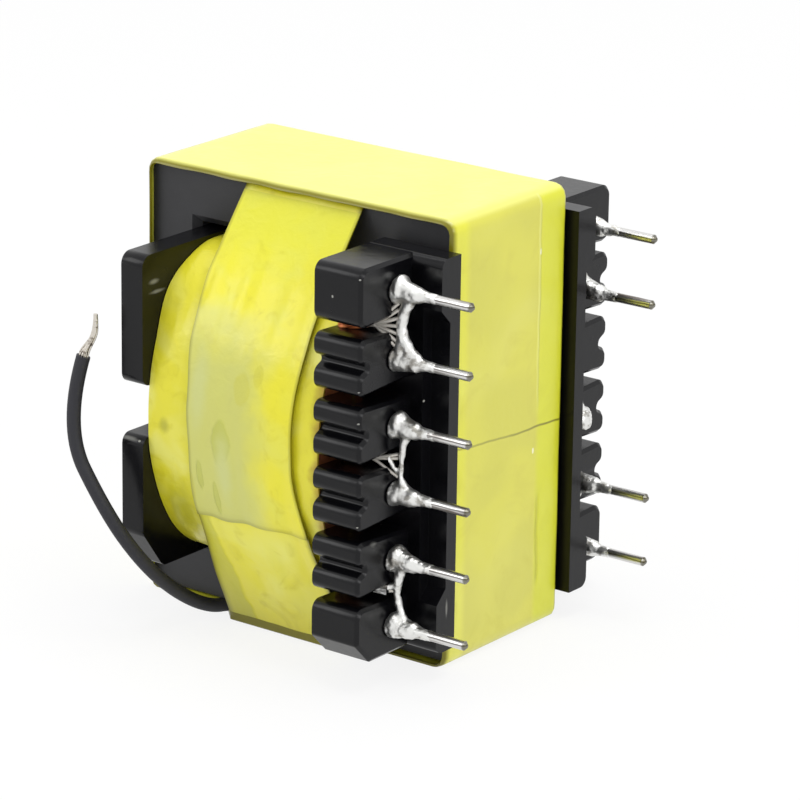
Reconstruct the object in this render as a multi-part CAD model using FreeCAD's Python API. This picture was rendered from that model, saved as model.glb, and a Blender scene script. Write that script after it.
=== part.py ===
import FreeCAD, Part
import math
import os

from FreeCAD import Vector

# Through-hole switching transformer, lying on one taped side of its core.
# The pins point along +X, their two rows lie at -Y and +Y, and Z is up.
# The pieces are drawn about the centre of the core and lifted onto the resting face at the end.
# Lengths are in millimetres.

# Ferrite core, two E-shaped halves that meet at X = 0
core_width = 33.0
core_half_height = 13.95
core_thickness = 12.7
centre_leg_width = 9.7
window_width = 24.8
leg_length = 9.7
air_gap = 0.3
core_corner_radius = 0.8
window_edge_chamfer = 0.55
mating_gap = 0.02

# Tape bands
strap_thickness = 0.12
strap_centre_x = 0.3
strap_width = 10.4
core_tape_thickness = 0.18
core_tape_width = 14.1
core_tape_corner = 0.9
tape_seat = 0.01

# Bobbin, one moulding
leg_clearance = 0.2
tube_wall = 0.9
tube_corner_radius = 1.0
window_side_clearance = 0.3
yoke_clearance = 0.15
far_flange_thickness = 2.0
near_flange_thickness = 1.35
flange_reach = 15.2
flange_corner_radius = 0.9
ear_notch_width = 3.9
ear_notch_depth = 3.6
ear_notch_centre = 0.3
ear_notch_radius = 0.6
key_chamfer_depth = 2.2
key_chamfer_height = 3.0

# Terminal rails either side of the pin-side yoke
rail_clearance = 0.15
rail_thickness = 2.2
rail_length = 29.5
rail_shelf_x = 13.4
rail_skirt_thickness = 1.15
rail_foot_length = 4.8
rail_foot_chamfer = 0.7
standoff = 0.85

# Terminal blocks
pins_per_row = 6
pin_pitch = 5.0
row_spacing = 22.5
block_height = 4.2
block_root_height = 3.6
block_root_depth = 0.4
block_length = 4.1
block_edge_chamfer = 0.25
lobe_radius = 0.7
lobe_height = 1.5
groove_depth = 1.3
groove_radius = 0.3
end_block_radius = 0.8
block_key_chamfer = 1.7

# Pins
pin_diameter = 0.7
pin_anchor = 3.2
pin_blade_width = 1.1
pin_blade_thickness = 0.3
coat_base_radius = 0.65
coat_radius = 0.6
coat_length = 1.8
coat_taper = 0.45
pin_reach = 4.1
pin_point = 0.2
pin_fit = 0.01
full_back_pins = (1, 2, 5, 6)
stub_back_pin = 4
stub_length = 1.1

# Solder
solder_base_radius = 1.3
solder_length = 1.75
solder_foot_radius = 0.2
solder_shoulder_share = 0.3
solder_shoulder_radius = 1.05
web_thickness = 0.55
web_width = 0.8
web_flare = 2.1
tail_width = 0.4
solder_seat = 0.02
joined_pins = ((1, 2), (3, 4), (5, 6))

# Copper ends in the slots between the blocks
bundle_height = 0.62
bundle_depth = 1.7
bundle_corner = 0.25
bundle_clearance = 0.06
bundle_end_gap = 0.01

# Windings
coil_end_clearance = 0.05
layer_clearance = 0.03
oval_straight = 7.0
winding_half_depth = 14.65
winding_half_height = 11.75
winding_tape_thickness = 0.15
interlayer_tape_thickness = 0.15
primary_build = 0.52

# Flying lead: an insulated wire end that leaves under the strap; its route is in the lifted frame
lead_diameter = 1.05
lead_route = [
    (-0.9, -7.3, 0.9),
    (-2.9, -7.15, 0.92),
    (-5.0, -7.75, 0.88),
    (-6.1, -9.5, 0.8),
    (-6.95, -12.4, 2.7),
    (-7.3, -15.8, 5.9),
    (-9.0, -17.75, 9.9),
    (-12.8, -17.95, 15.7),
    (-11.65, -17.0, 21.1),
]
bare_wire_diameter = 0.42
bare_collar_diameter = 0.9
bare_collar_length = 1.0
bare_first_run = 1.3
bare_turns = [(-10.75, -16.6, 23.3), (-10.8, -16.6, 24.35)]
lead_clearance = 0.35
bare_end_seat = 0.01

# Cutting shapes run past what they cut, and places this near each other count as one
overcut = 1.0
same_place = 0.0001

# Values worked out from the ones above
tube_half_y = core_thickness / 2 + leg_clearance + tube_wall
tube_half_z = centre_leg_width / 2 + leg_clearance + tube_wall
flange_half_z = window_width / 2 - window_side_clearance
flange_outer_x = leg_length - yoke_clearance
coil_far_x = -flange_outer_x + far_flange_thickness
coil_near_x = flange_outer_x - near_flange_thickness
block_end_x = coil_near_x + block_length
strap_half_z = core_width / 2 + tape_seat + strap_thickness
taped_half_z = strap_half_z + tape_seat + core_tape_thickness
taped_half_x = core_half_height + tape_seat + core_tape_thickness
rail_inner_y = core_tape_width / 2 + rail_clearance
rail_outer_y = rail_inner_y + rail_thickness
rail_end_x = taped_half_x + standoff
pin_tip_x = rail_end_x + pin_reach
pin_y = row_spacing / 2
pin_radius = pin_diameter / 2
lead_radius = lead_diameter / 2
resting_height = taped_half_z


# Outlines and prisms

def in_yz(x):
    """Return a placer that turns outline coordinates into points of the plane at x."""
    return lambda a, b: Vector(x, a, b)


def in_xz(y):
    """Return a placer that turns outline coordinates into points of the plane at y."""
    return lambda a, b: Vector(a, y, b)


def rounded_wire(corners, place):
    """Close an outline through corners (a, b, radius), each one rounded by a tangent arc."""
    count = len(corners)
    stretches = []
    for index, (a, b, radius) in enumerate(corners):
        here = Vector(a, b, 0)
        before = Vector(*corners[index - 1][:2], 0) - here
        after = Vector(*corners[(index + 1) % count][:2], 0) - here
        before.normalize()
        after.normalize()
        if radius == 0:
            stretches.append((here, here, here))
            continue
        half_angle = before.getAngle(after) / 2
        bisector = before + after
        bisector.normalize()
        setback = radius / math.tan(half_angle)
        middle = here + bisector * (radius / math.sin(half_angle) - radius)
        stretches.append((here + before * setback, middle, here + after * setback))
    edges = []
    for index, (start, middle, end) in enumerate(stretches):
        previous = stretches[index - 1][2]
        if previous.distanceToPoint(start) > same_place:
            edges.append(Part.LineSegment(place(previous.x, previous.y), place(start.x, start.y)).toShape())
        if start.distanceToPoint(end) > same_place:
            arc = Part.Arc(place(start.x, start.y), place(middle.x, middle.y), place(end.x, end.y))
            edges.append(arc.toShape())
    return Part.Wire(edges)


def rectangle(half_a, half_b, radius):
    """Corners of a centred rectangle for rounded_wire."""
    return [(-half_a, -half_b, radius), (half_a, -half_b, radius),
            (half_a, half_b, radius), (-half_a, half_b, radius)]


def prism_x(corners, x_start, x_end):
    """Extrude a YZ outline from x_start to x_end."""
    face = Part.Face(rounded_wire(corners, in_yz(x_start)))
    return face.extrude(Vector(x_end - x_start, 0, 0))


def prism_y(corners, y_start, y_end):
    """Extrude an XZ outline from y_start to y_end."""
    face = Part.Face(rounded_wire(corners, in_xz(y_start)))
    return face.extrude(Vector(0, y_end - y_start, 0))


def box(x_range, y_range, z_range):
    """Box between the two ends given for each axis."""
    size = [abs(ends[1] - ends[0]) for ends in (x_range, y_range, z_range)]
    corner = Vector(min(x_range), min(y_range), min(z_range))
    return Part.makeBox(size[0], size[1], size[2], corner)


def rod_x(radius, x_start, x_end, y, z):
    """Round rod along X."""
    return Part.makeCylinder(radius, x_end - x_start, Vector(x_start, y, z), Vector(1, 0, 0))


def edges_on_x(shape, x):
    """Edges of a shape that lie in the plane at x."""
    return [edge for edge in shape.Edges
            if abs(edge.BoundBox.XMin - x) < same_place and abs(edge.BoundBox.XMax - x) < same_place]


def pin_z(number):
    """Height of pin 1 to pins_per_row, counted from the top."""
    return ((pins_per_row + 1) / 2 - number) * pin_pitch


# Ferrite core

def window_edges(shape):
    """Edges of the two windows on the front and back faces of a core half."""
    found = []
    for edge in shape.Edges:
        span = edge.BoundBox
        on_face = span.YLength < same_place and abs(abs(span.YMin) - core_thickness / 2) < same_place
        inside = max(span.ZMax, -span.ZMin) < window_width / 2 + same_place
        reaches_window = max(abs(span.XMin), abs(span.XMax)) < leg_length + same_place
        on_centre_leg = max(abs(span.ZMin), abs(span.ZMax)) < centre_leg_width / 2 + same_place
        if on_face and inside and reaches_window and not on_centre_leg:
            found.append(edge)
    return found


def core_half(side, gap):
    """One E-shaped half: side is 1 towards the pins and -1 away from them."""
    half_width = core_width / 2
    outline = [(mating_gap / 2 * side, -half_width, 0),
               (core_half_height * side, -half_width, core_corner_radius),
               (core_half_height * side, half_width, core_corner_radius),
               (mating_gap / 2 * side, half_width, 0)]
    half = prism_y(outline, -core_thickness / 2, core_thickness / 2)
    for direction in (-1, 1):
        window = box((0, leg_length * side), (-core_thickness, core_thickness),
                     (direction * centre_leg_width / 2, direction * window_width / 2))
        half = half.cut(window)
    half = half.makeChamfer(window_edge_chamfer, window_edges(half))
    if gap > 0:
        half_ground = centre_leg_width / 2 + window_edge_chamfer
        ground = box((0, gap * side), (-core_thickness, core_thickness), (-half_ground, half_ground))
        half = half.cut(ground)
    return half


# Bobbin

def bobbin_tube():
    """Rectangular tube round the centre leg, between the two flanges."""
    corners = rectangle(tube_half_y, tube_half_z, tube_corner_radius)
    return prism_x(corners, coil_far_x - far_flange_thickness / 2, coil_near_x + near_flange_thickness / 2)


def far_flange():
    """Flange away from the pins, with a notched pair of ears front and back."""
    reach, half_z, radius = flange_reach, flange_half_z, flange_corner_radius
    corners = [(-reach, -half_z + key_chamfer_height, radius), (-reach + key_chamfer_depth, -half_z, radius),
               (reach, -half_z, radius), (reach, half_z, radius), (-reach, half_z, radius)]
    flange = prism_x(corners, -flange_outer_x, coil_far_x)
    low = ear_notch_centre - ear_notch_width / 2
    high = ear_notch_centre + ear_notch_width / 2
    for direction in (-1, 1):
        inner = direction * (reach - ear_notch_depth)
        outer = direction * (reach + ear_notch_depth)
        notch = [(inner, low, ear_notch_radius), (outer, low, 0),
                 (outer, high, 0), (inner, high, ear_notch_radius)]
        flange = flange.cut(prism_x(notch, -flange_outer_x - overcut, coil_far_x + overcut))
    return flange


def near_flange():
    """Pin-side flange where it lies inside the core windows."""
    corners = rectangle(rail_inner_y + rail_thickness / 2, flange_half_z, flange_corner_radius)
    return prism_x(corners, coil_near_x, flange_outer_x)


def terminal_rail(side):
    """Rail beside the yoke: a thick shelf, a thin skirt on it and a full foot at each end."""
    half_length = rail_length / 2
    inner, outer = side * rail_inner_y, side * rail_outer_y
    skirt_outer = side * (rail_inner_y + rail_skirt_thickness)
    shelf = [(inner, -half_length, 0), (outer, -half_length, rail_foot_chamfer),
             (outer, half_length, rail_foot_chamfer), (inner, half_length, 0)]
    rail = prism_x(shelf, coil_near_x, rail_shelf_x)
    rail = rail.fuse(box((rail_shelf_x, rail_end_x), (inner, skirt_outer), (-half_length, half_length)))
    rise = abs(outer - skirt_outer)
    for end in (-1, 1):
        start = half_length - rail_foot_length
        foot = [(inner, end * start, 0), (skirt_outer, end * start, 0), (outer, end * (start + rise), 0),
                (outer, end * half_length, rail_foot_chamfer), (inner, end * half_length, 0)]
        rail = rail.fuse(prism_x(foot, rail_shelf_x, rail_end_x))
    return rail


def grooved_block_corners(side, z):
    """Two round lobes with a groove between them, narrowing to the rail."""
    root = side * (rail_outer_y - block_root_depth)
    reach = side * flange_reach
    groove = side * (flange_reach - groove_depth)
    half, root_half = block_height / 2, block_root_height / 2
    lip = half - lobe_height
    return [(root, z - root_half, 0), (reach, z - half, lobe_radius), (reach, z - lip, lobe_radius),
            (groove, z, groove_radius), (reach, z + lip, lobe_radius), (reach, z + half, lobe_radius),
            (root, z + root_half, 0)]


def end_block_corners(side, z):
    """Solid end block, wider outwards; the front block at the foot has the keying chamfer."""
    root = side * (rail_outer_y - block_root_depth)
    reach = side * flange_reach
    outward = 1 if z > 0 else -1
    inner_z = z - outward * block_height / 2
    root_z = z - outward * block_root_height / 2
    end_z = outward * rail_length / 2
    corners = [(root, root_z, 0), (reach, inner_z, end_block_radius)]
    if side < 0 and z < 0:
        corners.append((reach, end_z + block_key_chamfer, end_block_radius / 2))
        corners.append((reach + block_key_chamfer, end_z, end_block_radius / 2))
    else:
        corners.append((reach, end_z, end_block_radius))
    corners.append((root, end_z, 0))
    return corners


def terminal_block(side, number):
    """Block that holds one pin, with its pin-side edges broken."""
    z = pin_z(number)
    at_end = number in (1, pins_per_row)
    corners = end_block_corners(side, z) if at_end else grooved_block_corners(side, z)
    block = prism_x(corners, coil_near_x, block_end_x)
    return block.makeChamfer(block_edge_chamfer, edges_on_x(block, block_end_x))


def pin_blade(side, number, fit, x_end):
    """Flattened root of a pin, or with a fit the slot that it is pressed into."""
    half_width = pin_blade_width / 2 + fit
    half_thickness = pin_blade_thickness / 2 + fit
    y, z = side * pin_y, pin_z(number)
    return box((block_end_x - pin_anchor - fit, x_end), (y - half_width, y + half_width),
               (z - half_thickness, z + half_thickness))


def pin_seat(side, number):
    """Slot that a pin's root is pressed into, or the round hole that was left without a pin."""
    if side > 0 and number not in full_back_pins + (stub_back_pin,):
        return rod_x(pin_radius, block_end_x - pin_anchor, block_end_x + overcut, side * pin_y, pin_z(number))
    return pin_blade(side, number, pin_fit, block_end_x + overcut)


def bobbin():
    """The whole moulding: tube, flanges, rails and terminal blocks."""
    body = bobbin_tube().fuse([far_flange(), near_flange()])
    for side in (-1, 1):
        body = body.fuse(terminal_rail(side))
        for number in range(1, pins_per_row + 1):
            body = body.fuse(terminal_block(side, number))
    bore_y = core_thickness / 2 + leg_clearance
    bore_z = centre_leg_width / 2 + leg_clearance
    bore_x = flange_outer_x + overcut
    body = body.cut(box((-bore_x, bore_x), (-bore_y, bore_y), (-bore_z, bore_z)))
    for side in (-1, 1):
        for number in range(1, pins_per_row + 1):
            body = body.cut(pin_seat(side, number))
    return body.removeSplitter()


# Windings and tapes

def bulge_arc(x, side, half_y, half_z, low, top):
    """Part of the oval's half ellipse on one side, between two of its points (y, z)."""
    middle = Vector(x, side * oval_straight, 0)
    apex = Vector(x, side * oval_straight, half_z)
    tip = Vector(x, side * half_y, 0)
    tall = half_z > half_y - oval_straight
    ellipse = Part.Ellipse(apex, tip, middle) if tall else Part.Ellipse(tip, apex, middle)
    first, last = sorted((ellipse.parameter(Vector(x, *low)), ellipse.parameter(Vector(x, *top))))
    arc = Part.ArcOfEllipse(ellipse, first, last)
    if abs(arc.value((first + last) / 2).y) < oval_straight:
        arc = Part.ArcOfEllipse(ellipse, last, first + 2 * math.pi)
    return arc.toShape()


def oval_wire(half_y, half_z, x):
    """Winding outline: straight over the core, half ellipses beyond its faces."""
    edges = []
    for side in (-1, 1):
        end_y = side * oval_straight
        edges.append(bulge_arc(x, side, half_y, half_z, (end_y, -half_z), (end_y, half_z)))
    for z in (-half_z, half_z):
        edges.append(Part.LineSegment(Vector(x, -oval_straight, z), Vector(x, oval_straight, z)).toShape())
    return Part.Wire(Part.__sortEdges__(edges))


def oval_solid(half_y, half_z):
    """Solid oval between the coil faces."""
    start = coil_far_x + coil_end_clearance
    length = coil_near_x - coil_far_x - 2 * coil_end_clearance
    return Part.Face(oval_wire(half_y, half_z, start)).extrude(Vector(length, 0, 0))


def oval_layer(outer, inner):
    """Ring between two ovals, each given as (half_y, half_z)."""
    return oval_solid(*outer).cut(oval_solid(*inner))


def shrunk(size, amount):
    """Half sizes of an oval drawn in by the same amount all round."""
    return (size[0] - amount, size[1] - amount)


winding_outside = (winding_half_depth, winding_half_height)
secondary_outside = shrunk(winding_outside, winding_tape_thickness + layer_clearance)
primary_outside = (tube_half_y + primary_build * (secondary_outside[0] - tube_half_y),
                   tube_half_z + primary_build * (secondary_outside[1] - tube_half_z))
interlayer_outside = shrunk(primary_outside, -interlayer_tape_thickness - layer_clearance)


def primary_winding():
    """Inner winding, wound straight onto the tube."""
    start = coil_far_x + coil_end_clearance
    end = coil_near_x - coil_end_clearance
    tube = rectangle(tube_half_y + layer_clearance, tube_half_z + layer_clearance, tube_corner_radius)
    return oval_solid(*primary_outside).cut(prism_x(tube, start, end))


def interlayer_tape():
    """Insulating tape between the two windings."""
    return oval_layer(interlayer_outside, shrunk(primary_outside, -layer_clearance))


def secondary_winding():
    """Outer winding."""
    return oval_layer(secondary_outside, shrunk(interlayer_outside, -layer_clearance))


def winding_tape():
    """Outer tape of the coil."""
    return oval_layer(winding_outside, shrunk(winding_outside, winding_tape_thickness))


def tangent_point(corner_y, corner_z, half_y, half_z, side):
    """Point where a line from a corner touches the oval's half ellipse on that side."""
    bulge = half_y - oval_straight
    scaled_y = (abs(corner_y) - oval_straight) / bulge
    scaled_z = corner_z / half_z
    distance = math.hypot(scaled_y, scaled_z)
    angle = math.atan2(abs(scaled_z), scaled_y) - math.acos(1 / distance)
    sign = 1 if corner_z > 0 else -1
    return (side * (oval_straight + bulge * math.cos(angle)), sign * half_z * math.sin(angle))


def strap_wire(grow, x):
    """Outline of the strap: flat on the legs, straight to the coil and round its bulge."""
    half_y, half_z = winding_half_depth + tape_seat + grow, winding_half_height + tape_seat + grow
    corner_z = core_width / 2 + tape_seat + grow
    edge_y = core_thickness / 2 + grow
    lead_edge_y = abs(lead_route[2][1]) + lead_radius + lead_clearance + grow
    edges = []
    for side, low_y in ((-1, lead_edge_y), (1, edge_y)):
        top = tangent_point(edge_y, corner_z, half_y, half_z, side)
        low = tangent_point(low_y, -corner_z, half_y, half_z, side)
        edges.append(bulge_arc(x, side, half_y, half_z, low, top))
        edges.append(Part.LineSegment(Vector(x, side * edge_y, corner_z), Vector(x, *top)).toShape())
        edges.append(Part.LineSegment(Vector(x, *low), Vector(x, side * low_y, -corner_z)).toShape())
    edges.append(Part.LineSegment(Vector(x, -edge_y, corner_z), Vector(x, edge_y, corner_z)).toShape())
    edges.append(Part.LineSegment(Vector(x, -lead_edge_y, -corner_z), Vector(x, edge_y, -corner_z)).toShape())
    return Part.Wire(Part.__sortEdges__(edges))


def strap_tape():
    """Tape strap round the coil and the outer legs, under the core tape."""
    start = strap_centre_x - strap_width / 2
    outside = Part.Face(strap_wire(strap_thickness, start)).extrude(Vector(strap_width, 0, 0))
    inside = Part.Face(strap_wire(0, start)).extrude(Vector(strap_width, 0, 0))
    return outside.cut(inside)


def core_tape():
    """Tape round the core's edge, standing proud of the ferrite on both faces."""
    half_width = core_tape_width / 2
    outside = prism_y(rectangle(taped_half_x, taped_half_z, core_tape_corner), -half_width, half_width)
    inner_radius = core_tape_corner - core_tape_thickness
    hole = rectangle(taped_half_x - core_tape_thickness, taped_half_z - core_tape_thickness, inner_radius)
    return outside.cut(prism_y(hole, -half_width, half_width))


# Pins and solder

def cone_x(start_radius, end_radius, x_start, length, side, number):
    """Cone on a pin's axis."""
    start = Vector(x_start, side * pin_y, pin_z(number))
    return Part.makeCone(start_radius, end_radius, length, start, Vector(1, 0, 0))


def pin_coat(side, number, fit, length):
    """Solder coat on the pin's base, with its taper where it is full length."""
    start = block_end_x + solder_seat
    coat = cone_x(coat_base_radius + fit, coat_radius + fit, start, length, side, number)
    if length < coat_length:
        return coat
    taper = cone_x(coat_radius + fit, pin_radius + fit, start + length, coat_taper, side, number)
    return coat.fuse(taper)


def full_pin(side, number):
    """Round pin with a flattened root, a coated base and a broken tip."""
    blade = pin_blade(side, number, 0, block_end_x + coat_length)
    free_x = block_end_x + solder_seat + coat_length + coat_taper
    free = rod_x(pin_radius, free_x, pin_tip_x, side * pin_y, pin_z(number))
    pin = blade.fuse([pin_coat(side, number, 0, coat_length), free]).removeSplitter()
    return pin.makeChamfer(pin_point, edges_on_x(pin, pin_tip_x))


def pin_stub(side, number):
    """Pin that was cut off just past its block."""
    coat = pin_coat(side, number, 0, stub_length)
    return pin_blade(side, number, 0, block_end_x + stub_length).fuse(coat).removeSplitter()


def solder_cone(side, number, length):
    """Hollow-sided fillet of solder up one pin."""
    y, z = side * pin_y, pin_z(number)
    start = block_end_x + solder_seat
    inner = coat_radius + pin_fit
    base = Vector(start, y, z + inner)
    rim = Vector(start, y, z + solder_base_radius)
    shoulder = Vector(start + length * solder_shoulder_share, y, z + solder_shoulder_radius)
    tip = Vector(start + length, y, z + inner + solder_foot_radius)
    root = Vector(start + length, y, z + inner)
    edges = [Part.LineSegment(base, rim).toShape(), Part.Arc(rim, shoulder, tip).toShape(),
             Part.LineSegment(tip, root).toShape(), Part.LineSegment(root, base).toShape()]
    profile = Part.Face(Part.Wire(edges))
    return profile.revolve(Vector(0, y, z), Vector(1, 0, 0), 360)


def solder_web(side, high_z, low_z):
    """Web of solder between two heights, hollow on the side away from the block."""
    start = block_end_x + solder_seat
    middle_z = (high_z + low_z) / 2
    top = Vector(start, 0, high_z)
    top_flare = Vector(start + web_flare, 0, high_z)
    waist = Vector(start + web_width, 0, middle_z)
    low_flare = Vector(start + web_flare, 0, low_z)
    low = Vector(start, 0, low_z)
    edges = [Part.LineSegment(low, top).toShape(), Part.LineSegment(top, top_flare).toShape(),
             Part.Arc(top_flare, waist, low_flare).toShape(), Part.LineSegment(low_flare, low).toShape()]
    face = Part.Face(Part.Wire(edges))
    face.translate(Vector(0, side * pin_y - web_thickness / 2, 0))
    return face.extrude(Vector(0, web_thickness, 0))


def bored_for_pins(solid, side, numbers):
    """Cut the passage of the given coated pins."""
    for number in numbers:
        solid = solid.cut(pin_coat(side, number, pin_fit, coat_length))
        solid = solid.cut(pin_blade(side, number, pin_fit, block_end_x + coat_length))
    return solid


def bridged_joint(side, first, second):
    """Solder that joins two neighbouring pins and the copper end between them."""
    web = solder_web(side, pin_z(first) - pin_radius / 2, pin_z(second) + pin_radius / 2)
    joint = web.fuse([solder_cone(side, first, solder_length), solder_cone(side, second, solder_length)])
    return bored_for_pins(joint, side, (first, second)).removeSplitter()


def single_joint(side, number, length):
    """Solder fillet on one pin with a tail to the slot that its copper end comes out of."""
    slot_z = pin_z(number) + pin_pitch / 2 * (-1 if number % 2 else 1)
    tail_end = slot_z + bundle_height / 2 * (1 if number % 2 else -1)
    start = block_end_x + solder_seat
    sides = (side * pin_y - web_thickness / 2, side * pin_y + web_thickness / 2)
    tail = box((start, start + tail_width), sides, (pin_z(number), tail_end))
    joint = solder_cone(side, number, length).fuse(tail)
    return bored_for_pins(joint, side, (number,)).removeSplitter()


def copper_end(side, first):
    """Bundle of copper strands in the slot below the given pin's block."""
    slot_z = pin_z(first) - pin_pitch / 2
    centre_y = side * (pin_y + bundle_depth / 4)
    corners = [(centre_y + a, slot_z + b, radius)
               for a, b, radius in rectangle(bundle_depth / 2, bundle_height / 2, bundle_corner)]
    return prism_x(corners, coil_near_x + bundle_clearance, block_end_x + solder_seat - bundle_end_gap)


# Flying lead

def filleted_path(points):
    """Straight runs joined by tangent arcs, each as large as its two runs allow."""
    nodes = [Vector(*point) for point in points]
    edges = []
    radii = []
    last = nodes[0]
    for before, here, after in zip(nodes, nodes[1:], nodes[2:]):
        back = before - here
        ahead = after - here
        shorter = min(back.Length, ahead.Length)
        back.normalize()
        ahead.normalize()
        half_turn = (math.pi - back.getAngle(ahead)) / 2
        setback = 0.45 * shorter
        radius = setback / math.tan(half_turn)
        bisector = back + ahead
        bisector.normalize()
        start = here + back * setback
        end = here + ahead * setback
        middle = here + bisector * (radius / math.cos(half_turn) - radius)
        edges.append(Part.LineSegment(last, start).toShape())
        edges.append(Part.Arc(start, middle, end).toShape())
        radii.append(radius)
        last = end
    edges.append(Part.LineSegment(last, nodes[-1]).toShape())
    return Part.Wire(edges), radii


def tube_along(points, diameter):
    """Round tube along a route; also gives the route's length and its bend radii."""
    path, radii = filleted_path(points)
    direction = Vector(*points[1]) - Vector(*points[0])
    circle = Part.Circle(Vector(*points[0]), direction, diameter / 2)
    section = Part.Wire(circle.toShape())
    return path.makePipeShell([section], True, True), path.Length, radii


def lead_sleeve():
    """Insulated part of the flying lead."""
    tube, length, radii = tube_along(lead_route, lead_diameter)
    section = math.pi * lead_diameter ** 2 / 4
    print("lead length %.2f, radii %s" % (length, ", ".join("%.1f" % radius for radius in radii)))
    print("lead volume %.3f against %.3f" % (tube.Volume, section * length))
    return tube


def lead_bare_end():
    """Tinned wire end with the solder collar where it leaves the insulation."""
    sleeve_end = Vector(*lead_route[-1])
    direction = sleeve_end - Vector(*lead_route[-2])
    direction.normalize()
    start = sleeve_end + direction * bare_end_seat
    turn = start + direction * bare_first_run
    wire, _, _ = tube_along([tuple(start), tuple(turn)] + bare_turns, bare_wire_diameter)
    wide, narrow = bare_collar_diameter / 2, bare_wire_diameter / 2
    collar = Part.makeCone(wide, narrow, bare_collar_length, start, direction)
    return wire.fuse(collar).removeSplitter()


# Assembly

def lifted(shape):
    """Move a piece drawn about the core's centre up onto the resting face."""
    shape.translate(Vector(0, 0, resting_height))
    return shape


def core_nodes():
    """Core halves and the tapes on them."""
    return {
        "core_half_far_side": core_half(-1, air_gap),
        "core_half_pin_side": core_half(1, 0),
        "core_tape": core_tape(),
        "strap_tape": strap_tape(),
    }


def coil_nodes():
    """Bobbin and what is wound on it."""
    return {
        "bobbin": bobbin(),
        "primary_winding": primary_winding(),
        "interlayer_tape": interlayer_tape(),
        "secondary_winding": secondary_winding(),
        "winding_tape": winding_tape(),
    }


def terminal_nodes():
    """Pins, solder and copper ends of both rows."""
    front, back = -1, 1
    nodes = {}
    for number in range(1, pins_per_row + 1):
        nodes["pin_front_%d" % number] = full_pin(front, number)
    for number in full_back_pins:
        nodes["pin_back_%d" % number] = full_pin(back, number)
        nodes["solder_back_%d" % number] = single_joint(back, number, solder_length)
    nodes["pin_stub_back_%d" % stub_back_pin] = pin_stub(back, stub_back_pin)
    nodes["solder_back_%d" % stub_back_pin] = single_joint(back, stub_back_pin, stub_length - pin_point)
    for first, second in joined_pins:
        pair = "%d%d" % (first, second)
        nodes["solder_front_" + pair] = bridged_joint(front, first, second)
        nodes["copper_end_front_" + pair] = copper_end(front, first)
        nodes["copper_end_back_" + pair] = copper_end(back, first)
    return nodes


def main():
    os.makedirs("parts", exist_ok=True)
    nodes = {}
    for group in (core_nodes(), coil_nodes(), terminal_nodes()):
        for name, shape in group.items():
            nodes[name] = lifted(shape)
    nodes["lead_sleeve"] = lead_sleeve()
    nodes["lead_bare_end"] = lead_bare_end()
    for name, shape in nodes.items():
        solids = shape.Solids
        print("%-24s solids %d valid %s volume %.2f" % (name, len(solids), shape.isValid(), shape.Volume))
        result = solids[0] if len(solids) == 1 else Part.Compound(solids)
        result.exportStep("parts/" + name + ".step")
    print("resting height %.3f, pin tip %.3f" % (resting_height, pin_tip_x))


main()
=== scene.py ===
# %% [markdown]
# # A soldered transformer with a taped core
#
# This lesson dresses a measured model of a small power transformer. The model arrives as a set of
# solids with true sizes. Here each one gets the look of the real thing: crinkled yellow tape,
# glossy black moulding, grey ferrite, solder, tinned pins and copper strands.

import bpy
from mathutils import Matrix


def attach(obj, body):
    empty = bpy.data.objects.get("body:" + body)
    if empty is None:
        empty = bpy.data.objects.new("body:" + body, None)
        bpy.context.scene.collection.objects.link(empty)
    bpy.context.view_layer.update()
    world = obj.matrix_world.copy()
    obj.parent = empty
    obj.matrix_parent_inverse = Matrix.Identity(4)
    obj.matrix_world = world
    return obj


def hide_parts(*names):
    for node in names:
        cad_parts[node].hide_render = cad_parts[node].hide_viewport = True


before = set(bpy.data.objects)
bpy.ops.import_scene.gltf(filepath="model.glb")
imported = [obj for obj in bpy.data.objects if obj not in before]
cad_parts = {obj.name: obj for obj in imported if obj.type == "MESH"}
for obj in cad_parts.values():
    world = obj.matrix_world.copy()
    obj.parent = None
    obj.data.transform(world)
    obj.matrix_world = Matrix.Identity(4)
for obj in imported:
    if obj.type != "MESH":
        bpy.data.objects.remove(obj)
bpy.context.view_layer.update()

import math
import random

import bpy
from mathutils import Matrix, Vector, noise

mm = 0.001

# %% [markdown]
# ## The camera
#
# The photo was taken with a long lens, because the far edges of the box are nearly as long as the
# near ones. The position and the two directions below were found by matching the corners of the
# core and the tips of the ten pins. The third direction is square to the other two.

# %% Camera
camera_place = Vector((190.877, -247.895, 117.377)) * mm
camera_right = Vector((0.79626, 0.60479, 0.01411))
camera_up = Vector((-0.19724, 0.23749, 0.95116))
camera_back = camera_right.cross(camera_up)

camera_data = bpy.data.cameras.new("camera")
camera_data.lens = 199.0
camera_data.clip_start = 0.01
camera_data.clip_end = 10
camera = bpy.data.objects.new("camera", camera_data)
bpy.context.scene.collection.objects.link(camera)
turn = Matrix((camera_right, camera_up, camera_back)).transposed()
camera.matrix_world = Matrix.Translation(camera_place) @ turn.to_4x4()
bpy.context.scene.camera = camera
print("camera stands", round(camera_place.length / mm), "mm away")

# %% [markdown]
# ## Working habits
#
# Operators act on whatever is selected, so each step starts by clearing the selection. Faces,
# edges and vertices are picked by a test on their place or direction. When a piece is done, it
# rides on the part's only body, and it takes over from the solid that it stands for.

# %% Small helpers for picking and finishing
def clamp(value):
    """Keep a share between 0 and 1."""
    return min(max(value, 0), 1)


def clear_selection():
    if bpy.context.object and bpy.context.object.mode != "OBJECT":
        bpy.ops.object.mode_set(mode="OBJECT")
    bpy.ops.object.select_all(action="DESELECT")


def take(*pieces):
    """Select these pieces and no others; the first one is active."""
    clear_selection()
    for piece in pieces:
        piece.select_set(True)
    bpy.context.view_layer.objects.active = pieces[0]


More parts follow.
